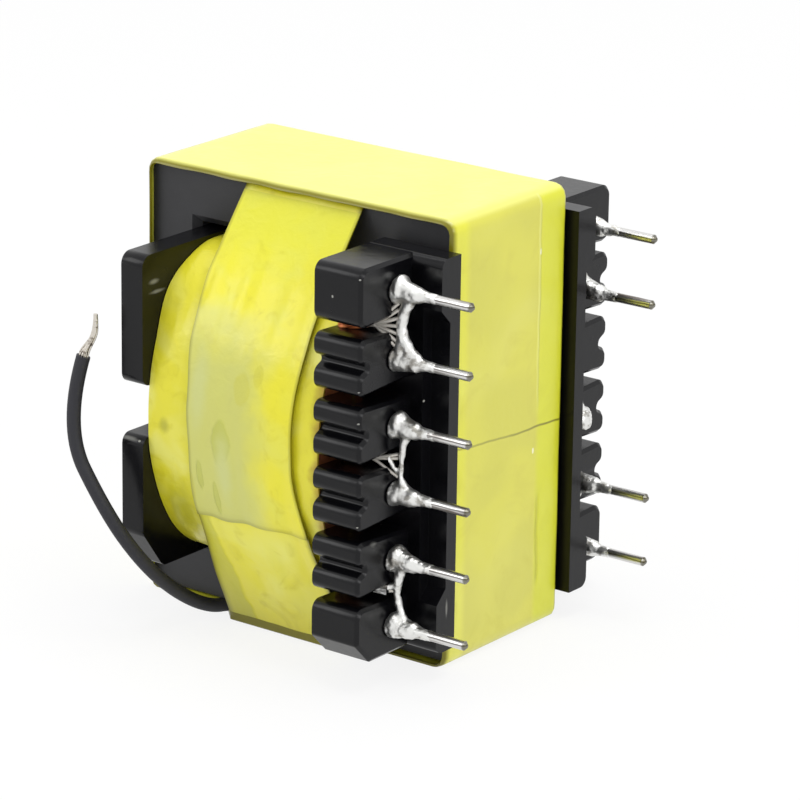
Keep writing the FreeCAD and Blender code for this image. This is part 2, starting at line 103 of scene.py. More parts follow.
def pick(piece, kind, test):
    """Enter edit mode with the vertices, edges or faces selected that pass the test."""
    take(piece)
    bpy.ops.object.mode_set(mode="EDIT")
    bpy.ops.mesh.select_mode(type=kind)
    bpy.ops.mesh.select_all(action="DESELECT")
    bpy.ops.object.mode_set(mode="OBJECT")
    mesh = piece.data
    for item in {"VERT": mesh.vertices, "EDGE": mesh.edges, "FACE": mesh.polygons}[kind]:
        item.select = test(item)
    bpy.ops.object.mode_set(mode="EDIT")


def done_editing():
    bpy.ops.object.mode_set(mode="OBJECT")


def apply_place(piece):
    take(piece)
    bpy.ops.object.transform_apply(location=True, rotation=True, scale=True)


def add_and_apply(piece, kind, **settings):
    """Add a modifier with the given settings and apply it at once."""
    take(piece)
    modifier = piece.modifiers.new(kind.lower(), kind)
    for name, value in settings.items():
        setattr(modifier, name, value)
    bpy.ops.object.modifier_apply(modifier=modifier.name)


def smooth(piece, degrees):
    """Shade the piece smooth, but keep the edges sharp that turn by more than this."""
    take(piece)
    bpy.ops.object.shade_smooth_by_angle(angle=math.radians(degrees))


def joined(pieces):
    """Join several objects into the first one."""
    take(*pieces)
    bpy.ops.object.join()
    return bpy.context.object


def cover(piece, finish):
    """Give the piece this finish and no other."""
    piece.data.materials.clear()
    piece.data.materials.append(finish)


def hand_over(piece, name, finish, nodes=()):
    """Name the piece, give it its finish, let it ride on the part and replace its solid."""
    piece.name = name
    piece.data.name = name
    cover(piece, finish)
    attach(piece, "root")
    if nodes:
        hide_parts(*nodes)
    if piece.type == "MESH":
        print(name, "has", len(piece.data.polygons), "faces")


# %% [markdown]
# ## The flying lead
#
# A short insulated wire leaves the coil under the strap, runs down beside the core and rises
# again. A stiff wire like this keeps the bend that the assembler gave it. A NURBS curve with few
# control points bends as evenly as the real wire does, so the route is only nine points.

# %% Lead curve
lead_diameter = 1.05 * mm
lead_route = [
    (-0.9, -7.3, 0.9), (-2.9, -7.15, 0.92), (-5.0, -7.75, 0.88), (-6.1, -9.5, 0.8),
    (-6.95, -12.4, 2.7), (-7.3, -15.8, 5.9), (-9.0, -17.75, 9.9), (-12.8, -17.95, 15.7),
    (-11.65, -17.0, 21.1),
]


def smooth_wire(name, points, thickness, steps, round_steps):
    """A round wire on one NURBS spline; the points are in millimetres."""
    curve = bpy.data.curves.new(name, "CURVE")
    curve.dimensions = "3D"
    curve.bevel_depth = thickness / 2
    curve.bevel_resolution = round_steps
    curve.resolution_u = steps
    curve.use_fill_caps = True
    spline = curve.splines.new("NURBS")
    spline.points.add(len(points) - 1)
    for point, place in zip(spline.points, points):
        point.co = (*(Vector(place) * mm), 1)
    spline.order_u = 3
    spline.use_endpoint_u = True
    wire = bpy.data.objects.new(name, curve)
    bpy.context.scene.collection.objects.link(wire)
    return wire


def strands_to_mesh(strands):
    """Turn a bundle of wires into one smooth mesh."""
    take(*strands)
    bpy.ops.object.convert(target="MESH")
    mesh = joined(strands)
    smooth(mesh, 60)
    return mesh


lead = smooth_wire("lead_insulation", lead_route, lead_diameter, steps=16, round_steps=6)
print("lead control points:", len(lead_route))

# %% [markdown]
# ## Colours and masks
#
# A colour picked from a screen is in screen values. Shaders want light values, so a small
# function turns one into the other. Everything else in a finish is built from masks, which are
# numbers from 0 to 1: noise, soft steps and thin lines, multiplied with each other. A mask says
# where one colour goes over into another, or where the surface rises.

# %% Colour and node helpers
def screen(red, green, blue):
    """Turn a 0 to 255 screen colour into the light values that a shader wants."""
    light = []
    for value in (red, green, blue):
        share = value / 255
        light.append(share / 12.92 if share <= 0.04045 else ((share + 0.055) / 1.055) ** 2.4)
    return (*light, 1)


def add_node(tree, kind, inputs=None, **settings):
    """Add a node, set its options, and link or set its inputs."""
    node = tree.nodes.new(kind)
    for name, value in settings.items():
        setattr(node, name, value)
    for key, value in (inputs or {}).items():
        if isinstance(value, bpy.types.NodeSocket):
            tree.links.new(value, node.inputs[key])
        else:
            node.inputs[key].default_value = value
    return node


def math_node(tree, operation, *values):
    return add_node(tree, "ShaderNodeMath", dict(enumerate(values)), operation=operation).outputs[0]


def vector_math(tree, operation, *values):
    return add_node(tree, "ShaderNodeVectorMath", dict(enumerate(values)), operation=operation).outputs[0]


def times(tree, *values):
    """Multiply masks and numbers with each other."""
    product = values[0]
    for value in values[1:]:
        product = math_node(tree, "MULTIPLY", product, value)
    return product


def plus(tree, base, value, factor):
    """The base with the value times the factor added to it."""
    return math_node(tree, "MULTIPLY_ADD", value, factor, base)


def fade(tree, value, start, end):
    """A mask that goes smoothly from 0 at start to 1 at end."""
    return add_node(tree, "ShaderNodeMapRange", {"Value": value, "From Min": start, "From Max": end},
                    interpolation_type="SMOOTHSTEP").outputs[0]


def line_mask(tree, value, centre, outer, inner):
    """A mask for a line: 1 within inner of the centre and 0 beyond outer."""
    away = math_node(tree, "ABSOLUTE", math_node(tree, "SUBTRACT", value, centre))
    return fade(tree, away, outer, inner)


def noise_mask(tree, place, fineness, detail, **more):
    inputs = {"Vector": place, "Scale": fineness, "Detail": detail, **more}
    return add_node(tree, "ShaderNodeTexNoise", inputs).outputs["Fac"]


def split(tree, place):
    """The X, Y and Z numbers of a place, in millimetres."""
    in_mm = vector_math(tree, "MULTIPLY", place, (1 / mm, 1 / mm, 1 / mm))
    axes = add_node(tree, "ShaderNodeSeparateXYZ", {"Vector": in_mm}).outputs
    return axes["X"], axes["Y"], axes["Z"]


def blend_colour(tree, share, first, second):
    """Mix two colours; each is a socket or a triple of screen values."""
    first, second = (screen(*colour) if isinstance(colour, tuple) else colour for colour in (first, second))
    return add_node(tree, "ShaderNodeMix", {0: share, 6: first, 7: second}, data_type="RGBA").outputs[2]


def coats(tree, colour, *layers):
    """Lay (mask, strength, shade) tints over the colour, one after another."""
    for mask, strength, shade in layers:
        colour = blend_colour(tree, times(tree, mask, strength), colour, shade)
    return colour


# %% [markdown]
# ## Shared effects and the frame of a finish
#
# The effects that several finishes share are node groups: speckle for moulded and pressed
# surfaces, streaks that run along the pins, and a single spot with a ragged edge for marks. A
# finish starts with its shader and ends with three links: colour, roughness and bump.

# %% Making groups and finishes
def new_group(name, inputs, outputs):
    """A node group. A tuple makes a vector input, a number makes a float one; outputs are floats."""
    group = bpy.data.node_groups.new(name, "ShaderNodeTree")
    for label, value in inputs.items():
        kind = "NodeSocketVector" if isinstance(value, tuple) else "NodeSocketFloat"
        group.interface.new_socket(label, in_out="INPUT", socket_type=kind).default_value = value
    for label in outputs:
        group.interface.new_socket(label, in_out="OUTPUT", socket_type="NodeSocketFloat")
    return group, group.nodes.new("NodeGroupInput").outputs, group.nodes.new("NodeGroupOutput").inputs


def use_group(tree, group, **inputs):
    return add_node(tree, "ShaderNodeGroup", inputs, node_tree=group).outputs


def new_finish(name, **constants):
    """A material, its Principled shader and the place on the object that its effects follow."""
    finish = bpy.data.materials.new(name)
    finish.use_nodes = True
    tree = finish.node_tree
    shader = tree.nodes["Principled BSDF"]
    for label, value in constants.items():
        shader.inputs[label.replace("_", " ").title().replace("Ior", "IOR")].default_value = value
    return finish, tree, shader, add_node(tree, "ShaderNodeTexCoord").outputs["Object"]


def rough_between(tree, mask, low, high):
    """Roughness that follows a mask."""
    return add_node(tree, "ShaderNodeMapRange", {"Value": mask, "To Min": low, "To Max": high}).outputs[0]


def connect(tree, shader, colour, rough, height, strength, depth):
    """Link colour, roughness and bump to the shader; the bump's depth is in millimetres."""
    tree.links.new(colour, shader.inputs["Base Color"])
    tree.links.new(rough, shader.inputs["Roughness"])
    bump = add_node(tree, "ShaderNodeBump", {"Height": height, "Strength": strength, "Distance": depth * mm})
    tree.links.new(bump.outputs[0], shader.inputs["Normal"])


# %% Speckle group
speckle_group, given, result = new_group("speckle", {"Place": (0, 0, 0), "Size": 3000.0, "Depth": 0.5},
                                         ("Mask", "Height"))
fine = noise_mask(speckle_group, given["Place"], given["Size"], 3.0)
broad = noise_mask(speckle_group, given["Place"], times(speckle_group, given["Size"], 0.12), 2.0)
speckle_group.links.new(plus(speckle_group, times(speckle_group, fine, 0.4), broad, 0.6), result["Mask"])
speckle_group.links.new(times(speckle_group, fine, given["Depth"]), result["Height"])

# %% Streak group
streak_group, given, result = new_group("streaks", {"Place": (0, 0, 0), "Size": 2500.0, "Stretch": 0.12}, ("Mask",))
stretch = add_node(streak_group, "ShaderNodeCombineXYZ", {"X": given["Stretch"], "Y": 1.0, "Z": 1.0})
drawn_out = vector_math(streak_group, "MULTIPLY", given["Place"], stretch.outputs[0])
streaks = noise_mask(streak_group, drawn_out, given["Size"], 4.0, Roughness=0.6)
streak_group.links.new(streaks, result["Mask"])

# %% Spot group
spot_group, given, result = new_group(
    "spot", {"Place": (0, 0, 0), "Centre": (0, 0, 0), "Size": (0.001, 0.001, 0.001), "Wobble": 0.6, "Grain": 900.0},
    ("Firm", "Soft"))
from_centre = vector_math(spot_group, "SUBTRACT", given["Place"], given["Centre"])
scaled = vector_math(spot_group, "DIVIDE", from_centre, given["Size"])
distance = add_node(spot_group, "ShaderNodeVectorMath", {0: scaled}, operation="LENGTH").outputs["Value"]
ragged = math_node(spot_group, "SUBTRACT", noise_mask(spot_group, given["Place"], given["Grain"], 3.0), 0.5)
distance = plus(spot_group, distance, ragged, given["Wobble"])
spot_group.links.new(fade(spot_group, distance, 1.0, 0.75), result["Firm"])
spot_group.links.new(fade(spot_group, distance, 1.3, 0.2), result["Soft"])
print("groups:", [group.name for group in bpy.data.node_groups])


def spots(tree, place, edge, centres):
    """One mask for spots given as (centre, half size) in millimetres; their edge is Firm or Soft."""
    mask = 0.0
    for centre, size in centres:
        spot = use_group(tree, spot_group, Place=place, Centre=tuple(v * mm for v in centre),
                         Size=tuple(v * mm for v in size))
        mask = math_node(tree, "MAXIMUM", mask, spot[edge])
    return mask


# %% [markdown]
# ## Tape finish
#
# The tape is thin yellow polyester film with glue on its back. It is glossy, slightly see-through
# and never quite flat: broad patches lie close to what is under them and look deeper in colour,
# and small bubbles stay under it. One function makes the finish, so that the strap, the coil and
# the core differ only in their numbers and in a few details of their own.

# %% Tape finish function
tape_yellow, tape_deep, edge_glue_and_shade = (238, 230, 46), (214, 204, 14), (126, 120, 0)


def tape_finish(name, main, pale, deep, crinkle, patch_size, details):
    finish, tree, shader, place = new_finish(name, coat_weight=0.2, coat_roughness=0.16, ior=1.45)
    patches = noise_mask(tree, place, patch_size, 2.0, Distortion=0.6)
    colour = blend_colour(tree, fade(tree, patches, 0.42, 0.7), main, pale)
    close = noise_mask(tree, place, patch_size * 2.3, 3.0, Distortion=1.2)
    colour = coats(tree, colour, (fade(tree, close, 0.52, 0.78), 0.6, deep))
    speckle = use_group(tree, speckle_group, Place=place, Size=2600.0, Depth=0.3)
    waves = noise_mask(tree, place, patch_size * 3.0, 3.0, Distortion=1.0)
    colour, height = details(tree, place, colour, plus(tree, speckle["Height"], waves, crinkle))
    # The edge attribute paints a darker line along the tape's edges: partly the film's glue edge, partly painted
    # shade under curled lips and steps.
    edge = add_node(tree, "ShaderNodeAttribute", attribute_name="edge").outputs["Fac"]
    colour = blend_colour(tree, edge, colour, edge_glue_and_shade)
    connect(tree, shader, colour, rough_between(tree, speckle["Mask"], 0.22, 0.42), height, 0.4, 0.1)
    return finish


# %% [markdown]
# ## What is special on each band of tape
#
# The band round the core looks greyer where it lies on the ferrite, partly as painted shade on its
# side face, and yellower at its free lips; its top is painted lighter. Its end shows as a thin dark
# line across the pin side, with a shallow crease below it that painted shade darkens, and a raised
# line above it with a painted highlight. The double layer on the coil is grey-green where the glue
# has not wetted, and small bubbles are trapped in it; near its top lies a painted shadow under the
# core tape's lip.

# %% Details of the core's tape
def core_details(tree, place, colour, height):
    """Grey film over the ferrite, partly painted shade; a yellow lip; a painted lighter top; the tape's end; a fold
    with painted shade; a raised line and glints, both painted highlights.
    """
    x, y, z = split(tree, place)
    waver = noise_mask(tree, place, 260.0, 2.0)
    facing_pins = fade(tree, x, 13.6, 13.9)
    backed_and_shaded = times(tree, fade(tree, y, -5.6, -4.6), fade(tree, y, 4.2, 3.4), facing_pins)
    cloudy = times(tree, backed_and_shaded, fade(tree, noise_mask(tree, place, 150.0, 1.0), 0.42, 0.62))
    free_lip = times(tree, fade(tree, y, 3.4, 4.2), facing_pins)
    lit_top = fade(tree, z, 33.1, 33.5)
    tape_end = plus(tree, plus(tree, 15.85, y, -0.075), waver, 0.5)
    end_line = times(tree, line_mask(tree, z, tape_end, 0.13, 0.03), facing_pins,
                     plus(tree, 0.5, fade(tree, y, -2.0, 6.0), 0.35))
    end_step = times(tree, fade(tree, math_node(tree, "SUBTRACT", z, tape_end), -0.05, 0.05), facing_pins)
    shaded_crease = times(tree, line_mask(tree, y, plus(tree, 3.6, waver, 0.9), 0.35, 0.0),
                   fade(tree, z, 11.2, 9.2), fade(tree, z, 3.0, 4.5), facing_pins)
    lit_ridge = times(tree, line_mask(tree, y, plus(tree, 3.4, waver, 0.5), 0.22, 0.02), facing_pins,
                  fade(tree, z, 16.5, 19.0))
    glints = spots(tree, place, "Firm", [((14.14, -6.5, 29.2), (0.4, 0.1, 0.22)),
                                         ((14.14, 3.7, 29.2), (0.4, 0.11, 0.3)),
                                         ((14.14, 3.3, 14.1), (0.4, 0.12, 0.26))])
    # Painted shade on the side face and in the fold, a painted lighter top, and painted highlights on the raised
    # line and the glints.
    colour = coats(tree, colour, (backed_and_shaded, 0.5, (212, 206, 96)), (cloudy, 0.22, (190, 186, 84)),
                   (free_lip, 0.6, (214, 218, 40)), (lit_top, 0.55, (236, 236, 140)),
                   (end_line, 1.0, (118, 112, 18)), (shaded_crease, 0.35, (170, 164, 40)),
                   (lit_ridge, 0.4, (244, 244, 160)), (glints, 0.8, (255, 255, 225)))
    for mask, rise in ((end_step, 0.8), (lit_ridge, 1.2), (shaded_crease, -1.6)):
        height = plus(tree, height, mask, rise)
    return colour, height


# %% Details of the strap's and the coil's tape
def double_details(tree, place, colour, height):
    """Grey-green zone that fades out upwards and to the right, with trapped bubbles, and a painted shadow under the
    core tape's lip.
    """
    x, _, z = split(tree, place)
    waver = noise_mask(tree, place, 300.0, 3.0)
    unwetted = times(tree, fade(tree, plus(tree, z, waver, 5.0), 29.0, 24.0),
                     fade(tree, plus(tree, x, waver, 3.0), 6.0, 2.6))
    # A painted shadow darkens the top of the layer under the core tape's lip.
    lip_shadow = fade(tree, z, 26.5, 31.5)
    bubbles = spots(tree, place, "Firm", [((-0.35, -14.9, 16.4), (0.95, 4.0, 1.9)),
                                          ((-2.5, -14.9, 13.4), (0.34, 3.0, 1.3)),
                                          ((-1.2, -14.9, 11.7), (0.3, 3.0, 1.5))])
    pale = spots(tree, place, "Soft", [((-0.2, -14.9, 14.3), (0.8, 3.0, 3.0)),
                                       ((-2.6, -14.9, 19.9), (0.9, 3.0, 3.6))])
    blotches = spots(tree, place, "Firm", [((1.3, -14.9, 20.6), (0.8, 3.0, 1.3)),
                                           ((2.6, -14.9, 21.8), (0.5, 3.0, 0.9)),
                                           ((-3.6, -14.9, 12.4), (0.5, 3.0, 1.6))])
    colour = coats(tree, colour, (unwetted, 0.85, (204, 206, 116)), (lip_shadow, 0.6, (212, 214, 48)),
                   (bubbles, 0.42, (176, 182, 56)), (pale, 0.85, (208, 212, 134)),
                   (blotches, 0.35, (206, 200, 50)))
    return colour, plus(tree, height, bubbles, 1.2)


def strap_details(tree, place, colour, height):
    """Below the cut end the left fifth of the strap is folded and looks olive."""
    x, y, z = split(tree, place)
    slanted = plus(tree, plus(tree, x, z, 0.09), noise_mask(tree, place, 500.0, 2.0), 0.9)
    fold = times(tree, fade(tree, slanted, -1.1, -1.5), fade(tree, z, 11.0, 10.0), fade(tree, y, -6.0, -8.0))
    return coats(tree, colour, (fold, 0.5, (176, 178, 40))), plus(tree, height, fold, 1.5)


def coil_details(tree, place, colour, height):
    """Painted brownish shadow where the coil's tape meets the blocks, and loose olive places at the left."""
    block_shadow = fade(tree, plus(tree, split(tree, place)[0], noise_mask(tree, place, 700.0, 3.0), 1.6), 8.0, 9.2)
    loose = spots(tree, place, "Soft", [((-4.9, -12.4, 10.0), (1.7, 4.0, 3.0)),
                                        ((-6.0, -13.9, 16.4), (0.5, 3.0, 0.7))])
    colour = coats(tree, colour, (block_shadow, 0.75, (150, 96, 20)), (loose, 0.6, (160, 158, 34)))
    return colour, plus(tree, height, loose, 1.5)


# %% Four tape finishes
strap_finish = tape_finish("strap_film", tape_yellow, (240, 236, 96), tape_deep, 1.3, 160.0, strap_details)
coil_finish = tape_finish("coil_film", (234, 226, 50), (238, 234, 110), tape_deep, 1.9, 220.0, coil_details)
core_finish = tape_finish("core_film", (230, 228, 66), (234, 232, 96), (212, 206, 50), 0.9, 110.0, core_details)
double_finish = tape_finish("double_film", tape_yellow, (232, 228, 80), tape_deep, 0.9, 260.0, double_details)
print("tape finishes:", [f.name for f in (strap_finish, coil_finish, core_finish, double_finish)])

# %% [markdown]
# ## Ferrite, moulding, metal and insulation finishes
#
# Ferrite is a pressed and ground ceramic: dark grey, dull and faintly speckled. The moulding is
# black and glossy, so most of what one sees on it is reflection. Solder and tinned pins are metal:
# their colour is a bright grey and their character comes from roughness and small dents. The
# lead's insulation is matte and almost black.

# %% Speckled finishes
def speckled_finish(name, dark, light, grain, depth, rough_range, bump, marks=None, **constants):
    """Two near colours, uneven gloss and a fine grain; bump is its strength and depth in mm."""
    finish, tree, shader, place = new_finish(name, **constants)
    speckle = use_group(tree, speckle_group, Place=place, Size=grain, Depth=depth)
    colour = blend_colour(tree, speckle["Mask"], dark, light)
    rough = rough_between(tree, speckle["Mask"], *rough_range)
    if marks:
        colour, rough = marks(tree, place, colour, rough)
    connect(tree, shader, colour, rough, speckle["Height"], *bump)
    return finish


def moulding_marks_and_glints(tree, place, colour, rough):
    """Soft pale scuff marks and tiny chipped spots, some of them painted highlight specks on corners of the ears and
    blocks; all are duller than the gloss round them.
    """
    scuffs_and_soft_glints = spots(tree, place, "Soft", [
        ((-7.7, -13.9, 26.8), (0.5, 0.6, 0.22)), ((-7.7, -13.5, 26.0), (0.5, 0.9, 0.16)),
        ((-9.0, -15.1, 14.9), (0.9, 0.3, 0.16)), ((12.4, -13.4, 11.3), (0.2, 0.5, 0.5)),
        ((14.95, -8.2, 5.3), (0.3, 0.12, 0.7))])
    chips_and_glints = spots(tree, place, "Firm", [
        ((9.8, -15.2, 29.3), (0.09, 0.2, 0.11)), ((12.15, -15.15, 30.9), (0.1, 0.15, 0.08)),
        ((12.15, -15.15, 22.7), (0.1, 0.15, 0.07)), ((12.15, -15.15, 20.4), (0.1, 0.15, 0.07)),
        ((12.15, -15.15, 12.7), (0.1, 0.15, 0.08)), ((-8.0, -15.1, 14.85), (0.12, 0.2, 0.08)),
        ((13.4, -9.2, 20.9), (0.09, 0.15, 0.1))])
    # These spots are partly real marks and partly painted highlight specks.
    marks = math_node(tree, "MAXIMUM", times(tree, scuffs_and_soft_glints, 0.55), chips_and_glints)
    colour = blend_colour(tree, marks, colour, (158, 158, 152))
    return colour, math_node(tree, "MAXIMUM", rough, times(tree, marks, 0.7))


ferrite_finish = speckled_finish("ground_ferrite", (38, 38, 40), (56, 56, 59), 5200.0, 0.6, (0.42, 0.6),
                                 (0.25, 0.05), ior=1.45)
moulding_finish = speckled_finish("black_moulding", (4, 4, 7), (14, 14, 17), 1500.0, 0.5, (0.14, 0.34),
                                  (0.3, 0.08), moulding_marks_and_glints, ior=1.36, specular_ior_level=0.45)
sleeve_finish = speckled_finish("lead_insulation", (28, 28, 34), (48, 48, 54), 3200.0, 0.7, (0.5, 0.75),
                                (0.4, 0.08), ior=1.45)
hand_over(lead, "lead_insulation", sleeve_finish, ("lead_sleeve",))
print("speckled finishes:", [f.name for f in (ferrite_finish, moulding_finish, sleeve_finish)])


# %% Metal finishes
def metal_finish(name, bright, dark, rough_range, streak_size, stretch, dent, details=None, metallic=1.0):
    """Streaked metal; stretch is the share to which places are squeezed along the pins."""
    finish, tree, shader, place = new_finish(name, metallic=metallic)
    streaks = use_group(tree, streak_group, Place=place, Size=streak_size, Stretch=stretch)["Mask"]
    colour = blend_colour(tree, fade(tree, streaks, 0.5, 0.66), bright, dark)
    if details:
        colour = details(tree, place, colour)
    connect(tree, shader, colour, rough_between(tree, streaks, *rough_range), streaks, dent, 0.2)
    return finish


def pin_details(tree, place, colour):
    """A painted dark reflection as a lengthwise stripe on each pin, and the cut end's darker ring."""
    x, _, z = split(tree, place)
    pitches = math_node(tree, "DIVIDE", math_node(tree, "SUBTRACT", z, 1.82), 5.0)
    above_pin = times(tree, math_node(tree, "SUBTRACT", math_node(tree, "FRACT", pitches), 0.5), 5.0)
    above_pin = plus(tree, above_pin, noise_mask(tree, place, 500.0, 2.0), 0.16)
    # The stripe is a painted dark reflection along each pin; the ring at the cut end is the metal's own colour.
    return coats(tree, colour, (line_mask(tree, above_pin, 0.16, 0.075, 0.02), 0.8, (84, 78, 74)),
                 (fade(tree, x, 18.75, 18.95), 0.75, (70, 66, 34)))


def copper_details(tree, place, colour):
    """Copper in the slot, darkened low down by painted shade, and tinned where the solder has run up the strands."""
    x, _, z = split(tree, place)
    # Painted shade darkens the copper in the lower slots.
    return coats(tree, colour, (fade(tree, z, 23.5, 20.0), 0.75, (72, 40, 26)),
                 (fade(tree, x, 9.9, 10.9), 1.0, (208, 204, 196)))


solder_finish = metal_finish("solder", (234, 234, 231), (166, 163, 156), (0.26, 0.5), 1300.0, 0.8, 0.35)
pin_finish = metal_finish("tinned_pin", (218, 217, 215), (128, 120, 114), (0.2, 0.38), 2200.0, 0.06, 0.3,
                          pin_details)
strand_finish = metal_finish("tinned_strand", (214, 208, 198), (120, 108, 96), (0.22, 0.45), 2400.0, 0.3, 0.4)
copper_finish = metal_finish("enamelled_copper", (244, 146, 88), (190, 98, 52), (0.25, 0.5), 2000.0, 0.1, 0.3,
                             copper_details, metallic=0.45)
print("materials so far:", len(bpy.data.materials))

# %% [markdown]
# ## The lead's tinned strands
#
# Where the insulation ends, the strands spread a little and then draw together into one soldered
# tip. Each strand is its own thin curve. A seeded random offset keeps them apart, so the same
# bundle comes out each time.

# %% Tinned strands
random.seed(7)
strand_count, strand_diameter, core_diameter = 10, 0.15 * mm, 0.32 * mm
turn_between_strands = 2.4
sleeve_end = Vector(lead_route[-1])
out_of_sleeve = (sleeve_end - Vector(lead_route[-2])).normalized()
across = out_of_sleeve.cross(Vector((0, 1, 0))).normalized()
other = out_of_sleeve.cross(across).normalized()
gather = Vector((-10.75, -16.6, 23.3))
tip = Vector((-10.8, -16.6, 24.35))


def strand_points(angle, spread):
    sideways = across * math.cos(angle) + other * math.sin(angle)
    wobble = Vector([random.uniform(-0.05, 0.05) for _ in range(3)])
    return [sleeve_end - out_of_sleeve * 0.4 + sideways * 0.22,
            sleeve_end + sideways * 0.36 + wobble * 0.3,
            sleeve_end + out_of_sleeve * 0.55 + sideways * spread + wobble,
            gather - out_of_sleeve * 0.7 + sideways * spread * 0.55 - wobble,
            gather + sideways * 0.14,
            tip + sideways * 0.09 + Vector((0, 0, random.uniform(-0.1, 0.05)))]


strands = []
for index in range(strand_count):
    spread = random.uniform(0.2, 0.32) if index % 3 else random.uniform(0.1, 0.2)
    points = strand_points(index * turn_between_strands, spread)
    strands.append(smooth_wire("strand", points, strand_diameter, steps=5, round_steps=2))
core_points = [sleeve_end - out_of_sleeve * 0.3, sleeve_end + out_of_sleeve * 0.7, gather - out_of_sleeve * 0.3, tip]
strands.append(smooth_wire("strand_core", core_points, core_diameter, steps=6, round_steps=3))
strand_bundle = strands_to_mesh(strands)
hand_over(strand_bundle, "lead_strands", strand_finish, ("lead_bare_end",))

# %% [markdown]
# ## Wrapping tape round a form
#
# A band of tape is a tube with no ends. It starts as an open cylinder with rows of edges across
# its width, and each vertex is then laid on the outline that the tape is pulled over. The outline
# of a tight tape is like a rubber band over the corners: it touches the outermost points only.
# From here on, the outlines are in millimetres and their heights count from the core's middle.

# %% Outlines
half_thickness, half_width = 6.35, 16.5
resting_height = 16.82
coil_straight, coil_half_depth, coil_half_height = 7.0, 14.65, 11.75
oval_points, corner_steps = 120, 6


def oval(grow):
    """The coil's outline seen along the pins: half ellipses beyond the core's two faces."""
    points = []
    for step in range(oval_points):
        angle = 2 * math.pi * step / oval_points
        side = 1 if math.cos(angle) > 0 else -1
        points.append((side * coil_straight + (coil_half_depth - coil_straight + grow) * math.cos(angle),
                       (coil_half_height + grow) * math.sin(angle)))
    return points


def rounded_box(half_a, half_b, radius):
    """A box outline with round corners, anticlockwise."""
    points = []
    for corner in range(4):
        middle = ((half_a - radius) * (1, -1, -1, 1)[corner], (half_b - radius) * (1, 1, -1, -1)[corner])
        for step in range(corner_steps + 1):
            angle = math.pi / 2 * (corner + step / corner_steps)
            points.append((middle[0] + radius * math.cos(angle), middle[1] + radius * math.sin(angle)))
    return points


def stretched_over(points):
    """The outline of a band pulled tight over the points, anticlockwise."""
    ordered = sorted(set(points))
    halves = []
    for run in (ordered, ordered[::-1]):
        kept = []
        for point in run:
            while len(kept) > 1 and ((kept[-1][0] - kept[-2][0]) * (point[1] - kept[-2][1])
                                     <= (kept[-1][1] - kept[-2][1]) * (point[0] - kept[-2][0])):
                kept.pop()
            kept.append(point)
        halves += kept[:-1]
    return halves


def walker(outline):
    """A function that gives the point at a share of the way round the outline, from its +first axis."""
    start = max(range(len(outline)), key=lambda i: outline[i][0] - abs(outline[i][1]) * 0.01)
    closed = outline[start:] + outline[:start + 1]
    reach = [0.0]
    for (a0, b0), (a1, b1) in zip(closed, closed[1:]):
        reach.append(reach[-1] + math.hypot(a1 - a0, b1 - b0))

    def at(share):
        goal = (share % 1.0) * reach[-1]
        index = max(i for i in range(len(reach) - 1) if reach[i] <= goal)
        part = (goal - reach[index]) / (reach[index + 1] - reach[index])
        (a0, b0), (a1, b1) = closed[index], closed[index + 1]
        return (a0 + (a1 - a0) * part, b0 + (b1 - b0) * part)
    return at


# %% Tubes of tape
def open_tube(axis, count, rows):
    """An open cylinder round X or Y with rows across; its width runs from 0 to 1."""
    clear_selection()
    along = "XY".index(axis)
    rotation, centre = (((0, math.pi / 2, 0), (0.5, 0, 0)), ((-math.pi / 2, 0, 0), (0, 0.5, 0)))[along]
    bpy.ops.mesh.primitive_cylinder_add(vertices=count, radius=1, depth=1, end_fill_type="NOTHING",
                                        location=centre, rotation=rotation)
    tube = bpy.context.object
    apply_place(tube)
    corners = [vertex.co.copy() for vertex in tube.data.vertices]
    pick(tube, "EDGE", lambda edge: abs(corners[edge.vertices[0]][along] - corners[edge.vertices[1]][along]) > 0.5)
    bpy.ops.mesh.subdivide(number_cuts=rows - 1)
    done_editing()
    return tube


def mark_edge_glue_and_shade(tape, axis, width_share, amount):
    """Store how near each vertex is to the band's two edges, for a darker line there: partly the film's glue edge
    and partly painted shade.
    """
    layer = tape.data.attributes.new("edge", "FLOAT", "POINT")
    for index, vertex in enumerate(tape.data.vertices):
        from_middle = abs(2 * vertex.co["XY".index(axis)] - 1)
        layer.data[index].value = amount * (max(from_middle - (1 - width_share), 0) / width_share)


def lay_tape(tube, axis, place, thickness):
    """Move each vertex to place(share round, share across), then give the tape its thickness."""
    along = "XY".index(axis)
    for vertex in tube.data.vertices:
        share = (math.atan2(vertex.co.z, vertex.co[1 - along]) / (2 * math.pi)) % 1.0
        vertex.co = Vector(place(share, vertex.co[along])) * mm
    pick(tube, "FACE", lambda face: True)
    bpy.ops.mesh.normals_make_consistent(inside=False)
    done_editing()
    add_and_apply(tube, "SOLIDIFY", thickness=thickness * mm, offset=-1)
    smooth(tube, 40)


def bumps(place, size, seed):
    """Smooth random value near -1 to 1 that changes over the given size in millimetres."""
    return noise.noise(Vector(place) / size + Vector((seed, seed * 2, seed * 3)))


def pushed_out(x, depth, height, outward):
    """A place on a band round the coil, moved away from the coil's middle."""
    grow = 1 + outward / math.hypot(depth, height)
    return (x, depth * grow, height * grow + resting_height)


# %% [markdown]
# ## Coil tape
#
# The coil is wound nearly to the flanges and its last tape bulges in the middle and creases where
# it runs up against the moulding. The creases are long and soft, so they go into the shape and not
# only into the finish.

# %% Coil tape
coil_low_x, coil_high_x = -7.5, 8.15
crown_rise, crown_fall = 0.1, 0.12
crease_depth, dent_depth = 0.1, 0.1
shoulder_rise, shoulder_height, shoulder_length, shoulder_share = 0.5, 8.8, 2.2, 0.16
coil_walk = walker(oval(0.0))


